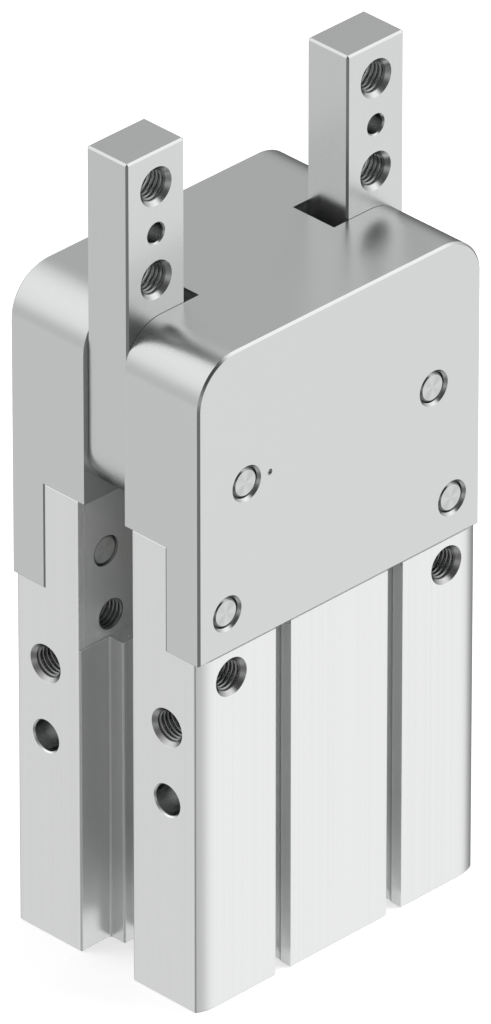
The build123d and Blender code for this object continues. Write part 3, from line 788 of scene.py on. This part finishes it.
def sweep_tooth(name, radius, pitch, length):
    """A ridge down from just above zero along Z, with its foot set a little into the wall."""
    inner = radius - TOOTH_DEPTH
    outer = radius + SEAT
    middle = (inner + outer) / 2
    bpy.ops.object.select_all(action="DESELECT")
    bpy.ops.mesh.primitive_grid_add(x_subdivisions=1, y_subdivisions=1, size=1.0,
                                    location=(0, 0, 0))
    ridge = bpy.context.active_object
    ridge.name = name
    edit_all(ridge)
    bpy.ops.transform.rotate(value=math.pi / 2, orient_axis="X", center_override=(0, 0, 0))
    bpy.ops.transform.resize(value=(outer - inner, 1, TOOTH_FOOT), center_override=(0, 0, 0))
    bpy.ops.transform.translate(value=(middle, 0, pitch))
    select_where(ridge, lambda place: place.x < middle)
    bpy.ops.transform.resize(value=(1, 1, TOOTH_CREST), center_override=(middle, 0, pitch))
    bpy.ops.object.mode_set(mode="OBJECT")
    screw = ridge.modifiers.new("wind", "SCREW")
    screw.axis = "Z"
    screw.angle = 2 * math.pi
    screw.screw_offset = -pitch
    screw.iterations = math.ceil(length / pitch) + 2
    screw.steps = TURN_STEPS
    screw.render_steps = TURN_STEPS
    apply_modifier(ridge, screw)
    return ridge


# %% [markdown]
# The sweep is one turn too long at both ends. It is closed first, so that the cuts have a solid to
# work on and can fill what they open.

# %% Trim its ends
CUT_THRESHOLD = 1e-7
TOOTH_SIDES = 8


def trim_ends(ridge, length):
    """Close the ridge's two ends and cut it flush with the hole's mouth and its foot."""
    edit_all(ridge)
    bpy.ops.mesh.fill_holes(sides=TOOTH_SIDES)
    for height, way in ((0.0, 1), (-length, -1)):
        bpy.ops.mesh.select_all(action="SELECT")
        bpy.ops.mesh.bisect(plane_co=(0, 0, height), plane_no=(0, 0, way), use_fill=True,
                            clear_outer=True, threshold=CUT_THRESHOLD)
    bpy.ops.mesh.select_all(action="SELECT")
    bpy.ops.mesh.normals_make_consistent(inside=False)
    bpy.ops.object.mode_set(mode="OBJECT")


# %% [markdown]
# A cone with sides at 45 degrees stands in the mouth, and a Boolean takes it away from the ridge.
# It runs out past the mouth, because two faces in the same plane make a Boolean unsure.

# %% Countersink its mouth
OVERRUN = 0.1


def countersink(ridge, radius, mouth, height, way):
    """Cut the crest near one end with a cone of 45 degrees, as the real countersink does."""
    depth = radius + mouth
    overrun = OVERRUN * depth
    bpy.ops.object.select_all(action="DESELECT")
    bpy.ops.mesh.primitive_cone_add(
        vertices=2 * TURN_STEPS, radius1=depth + overrun, radius2=0, depth=depth + overrun,
        location=(0, 0, height + way * (overrun - depth) / 2),
        rotation=(math.pi if way > 0 else 0, 0, 0))
    cone = bpy.context.active_object
    cut = ridge.modifiers.new("countersink", "BOOLEAN")
    cut.operation = "DIFFERENCE"
    cut.solver = "EXACT"
    cut.object = cone
    apply_modifier(ridge, cut)
    bpy.data.objects.remove(cone)


# %% [markdown]
# Where a cut passes close to a vertex, it leaves a triangle too thin to see, and such slivers can
# open the mesh when it is stored with fewer digits. Merging vertices that are nearly in the same
# place removes them, and the ridge stays closed.

# %% Merge the slivers
SLIVER = 0.003 * MM


def merge_slivers(ridge):
    """Merge the tiny triangles that the cuts leave."""
    edit_all(ridge)
    bpy.ops.mesh.remove_doubles(threshold=SLIVER)
    bpy.ops.mesh.dissolve_degenerate(threshold=SLIVER)
    bpy.ops.mesh.normals_make_consistent(inside=False)
    bpy.ops.object.mode_set(mode="OBJECT")


# %% [markdown]
# In a real thread the crests catch the light, while the flanks face each other and stay dark. The
# material deepens that difference with painted shade on the flanks, if it knows which is which. So
# every vertex stores a number called flank: 0 on the crest, and 1 from the middle of the flank
# outwards.

# %% Wind a whole ridge
SMOOTH_ANGLE = math.radians(35)
DARK_FLANK_FROM = 0.5


def wind_ridge(name, radius, pitch, length, mouth, both_ends=False):
    """One thread's ridge, from the mouth of a hole at zero down along Z."""
    ridge = sweep_tooth(name, radius, pitch, length)
    trim_ends(ridge, length)
    countersink(ridge, radius, mouth, 0.0, 1)
    if both_ends:
        countersink(ridge, radius, mouth, -length, -1)
    merge_slivers(ridge)
    select_only(ridge)
    bpy.ops.object.shade_smooth_by_angle(angle=SMOOTH_ANGLE)
    flank = ridge.data.attributes.new("flank", "FLOAT", "POINT")
    for vertex, value in zip(ridge.data.vertices, flank.data):
        above_crest = math.hypot(vertex.co.x, vertex.co.y) - (radius - TOOTH_DEPTH)
        value.value = min(1.0, max(0.0, above_crest / (DARK_FLANK_FROM * TOOTH_DEPTH)))
    print(name, "has", len(ridge.data.polygons), "faces")
    return ridge


# %% [markdown]
# Light is lost between the flanks and down the hole, so a thread looks darker than the faces, and
# that shade is painted into the thread's metal as a dark colour. The Attribute node reads the
# number that the vertices store, and the flanks get half the crest's colour, as more painted shade.

# %% Thread finish
FLANK_SHADE = 0.5

# The dark colour of the thread's metal is painted shade.
thread_metal = metal("thread_cut", colour=(0.43, 0.44, 0.435), roughness=0.25,
                     stretch=EVEN, grain=0.05, depth=0.003 * MM, metallic=0.85)
flank_node = thread_metal.node_tree.nodes.new("ShaderNodeAttribute")
flank_node.attribute_name = "flank"
paint_shade(thread_metal, flank_node.outputs["Fac"], FLANK_SHADE)
print("material made:", thread_metal.name)

# %% [markdown]
# A ridge is modelled pointing up, at the origin. Each copy gets its own mesh, which is turned to
# face out of its hole and moved there, while the object itself stays at the origin. Then it rides
# on the body that its hole is in, so that it goes along when the jaws swing.

# %% Place copies
def place_copies(ridge, places, material, body):
    """Copy a ridge into holes, each given by a name, its mouth's centre and the way it opens."""
    for name, mouth, way in places:
        copy = bpy.data.objects.new(name, ridge.data.copy())
        bpy.context.collection.objects.link(copy)
        turn = Vector(way).to_track_quat("Z", "Y").to_matrix().to_4x4()
        copy.data.transform(Matrix.Translation(Vector(mouth)) @ turn)
        copy.data.materials.clear()
        copy.data.materials.append(material)
        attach(copy, body)
    print(len(places), "copies of", ridge.name, "on", body)


# %% [markdown]
# The wide faces' threads go right through the arms. Those in the narrow faces and in the underside
# end inside, and share one ridge.

# %% Threads in the housing
M4_RADIUS = 2.0 * MM
M4_PITCH = 0.6 * MM
M4_MOUTH = 0.52 * MM
ARM_DEPTH = 10.84 * MM
SIDE_DEPTH = 7.9 * MM
HALF_WIDTH = 23.0 * MM
HALF_DEPTH = 15.36 * MM
wide_x, wide_z = WIDE_X * MM, WIDE_Z * MM
side_y, side_z = SIDE_Y * MM, SIDE_Z * MM
base_x = 18.0 * MM

arm_ridge = wind_ridge("thread_through_arm", M4_RADIUS, M4_PITCH, ARM_DEPTH, M4_MOUTH)
place_copies(arm_ridge, [
    ("thread_wide_front_left", (-wide_x, -HALF_DEPTH, wide_z), (0, -1, 0)),
    ("thread_wide_front_right", (wide_x, -HALF_DEPTH, wide_z), (0, -1, 0)),
    ("thread_wide_rear_left", (-wide_x, HALF_DEPTH, wide_z), (0, 1, 0)),
    ("thread_wide_rear_right", (wide_x, HALF_DEPTH, wide_z), (0, 1, 0)),
], thread_metal, "housing")
side_ridge = wind_ridge("thread_in_side", M4_RADIUS, M4_PITCH, SIDE_DEPTH, M4_MOUTH)
place_copies(side_ridge, [
    ("thread_side_left_front", (-HALF_WIDTH, -side_y, side_z), (-1, 0, 0)),
    ("thread_side_left_rear", (-HALF_WIDTH, side_y, side_z), (-1, 0, 0)),
    ("thread_side_right_front", (HALF_WIDTH, -side_y, side_z), (1, 0, 0)),
    ("thread_side_right_rear", (HALF_WIDTH, side_y, side_z), (1, 0, 0)),
    ("thread_base_front", (-base_x, -side_y, 0), (0, 0, -1)),
    ("thread_base_rear", (base_x, side_y, 0), (0, 0, -1)),
], thread_metal, "housing")

# %% [markdown]
# A jaw's threads are open at both ends, so their ridge is countersunk twice. The two air ports in
# the rear face are larger and have a coarser pitch.

# %% Threads in the jaws and the ports
JAW_THICKNESS = 6.63 * MM
PORT_RADIUS = 2.5 * MM
PORT_PITCH = 0.8 * MM
PORT_MOUTH = 0.4 * MM
PORT_DEPTH = 5.5 * MM
PORT_X = 15.3 * MM
PORT_OPEN_Z = 11.3 * MM
PORT_CLOSE_Z = 29.8137 * MM
jaw_x, low_z, high_z = JAW_X * MM, JAW_LOW_Z * MM, JAW_HIGH_Z * MM

jaw_ridge = wind_ridge("thread_through_jaw", M4_RADIUS, M4_PITCH, JAW_THICKNESS, M4_MOUTH,
                       both_ends=True)
for side, side_name in ((-1, "left"), (1, "right")):
    mouth_x, mouth_y = side * jaw_x, -JAW_THICKNESS / 2
    place_copies(jaw_ridge, [
        ("thread_jaw_" + side_name + "_low", (mouth_x, mouth_y, low_z), (0, -1, 0)),
        ("thread_jaw_" + side_name + "_high", (mouth_x, mouth_y, high_z), (0, -1, 0)),
    ], thread_metal, "jaw_" + side_name)
port_ridge = wind_ridge("thread_in_port", PORT_RADIUS, PORT_PITCH, PORT_DEPTH, PORT_MOUTH)
place_copies(port_ridge, [
    ("thread_port_open", (PORT_X, HALF_DEPTH, PORT_OPEN_Z), (0, 1, 0)),
    ("thread_port_close", (PORT_X, HALF_DEPTH, PORT_CLOSE_Z), (0, 1, 0)),
], thread_metal, "housing")
for pattern in (arm_ridge, side_ridge, jaw_ridge, port_ridge):
    bpy.data.objects.remove(pattern)

# %% [markdown]
# ## Finish
# The photograph's white is plain white and its greys are even, so the Standard view is used: it
# shows the tones as they are, while a filmic view would press the bright ones together. Light
# bounces many times between the ridges of a thread and the walls of a channel, and each bounce
# counts as a glossy one. With the usual four they would turn black, so more are allowed.

# %% Finish
GLOSSY_BOUNCES = 12

scene = bpy.context.scene
scene.cycles.glossy_bounces = GLOSSY_BOUNCES
scene.view_settings.view_transform = "Standard"
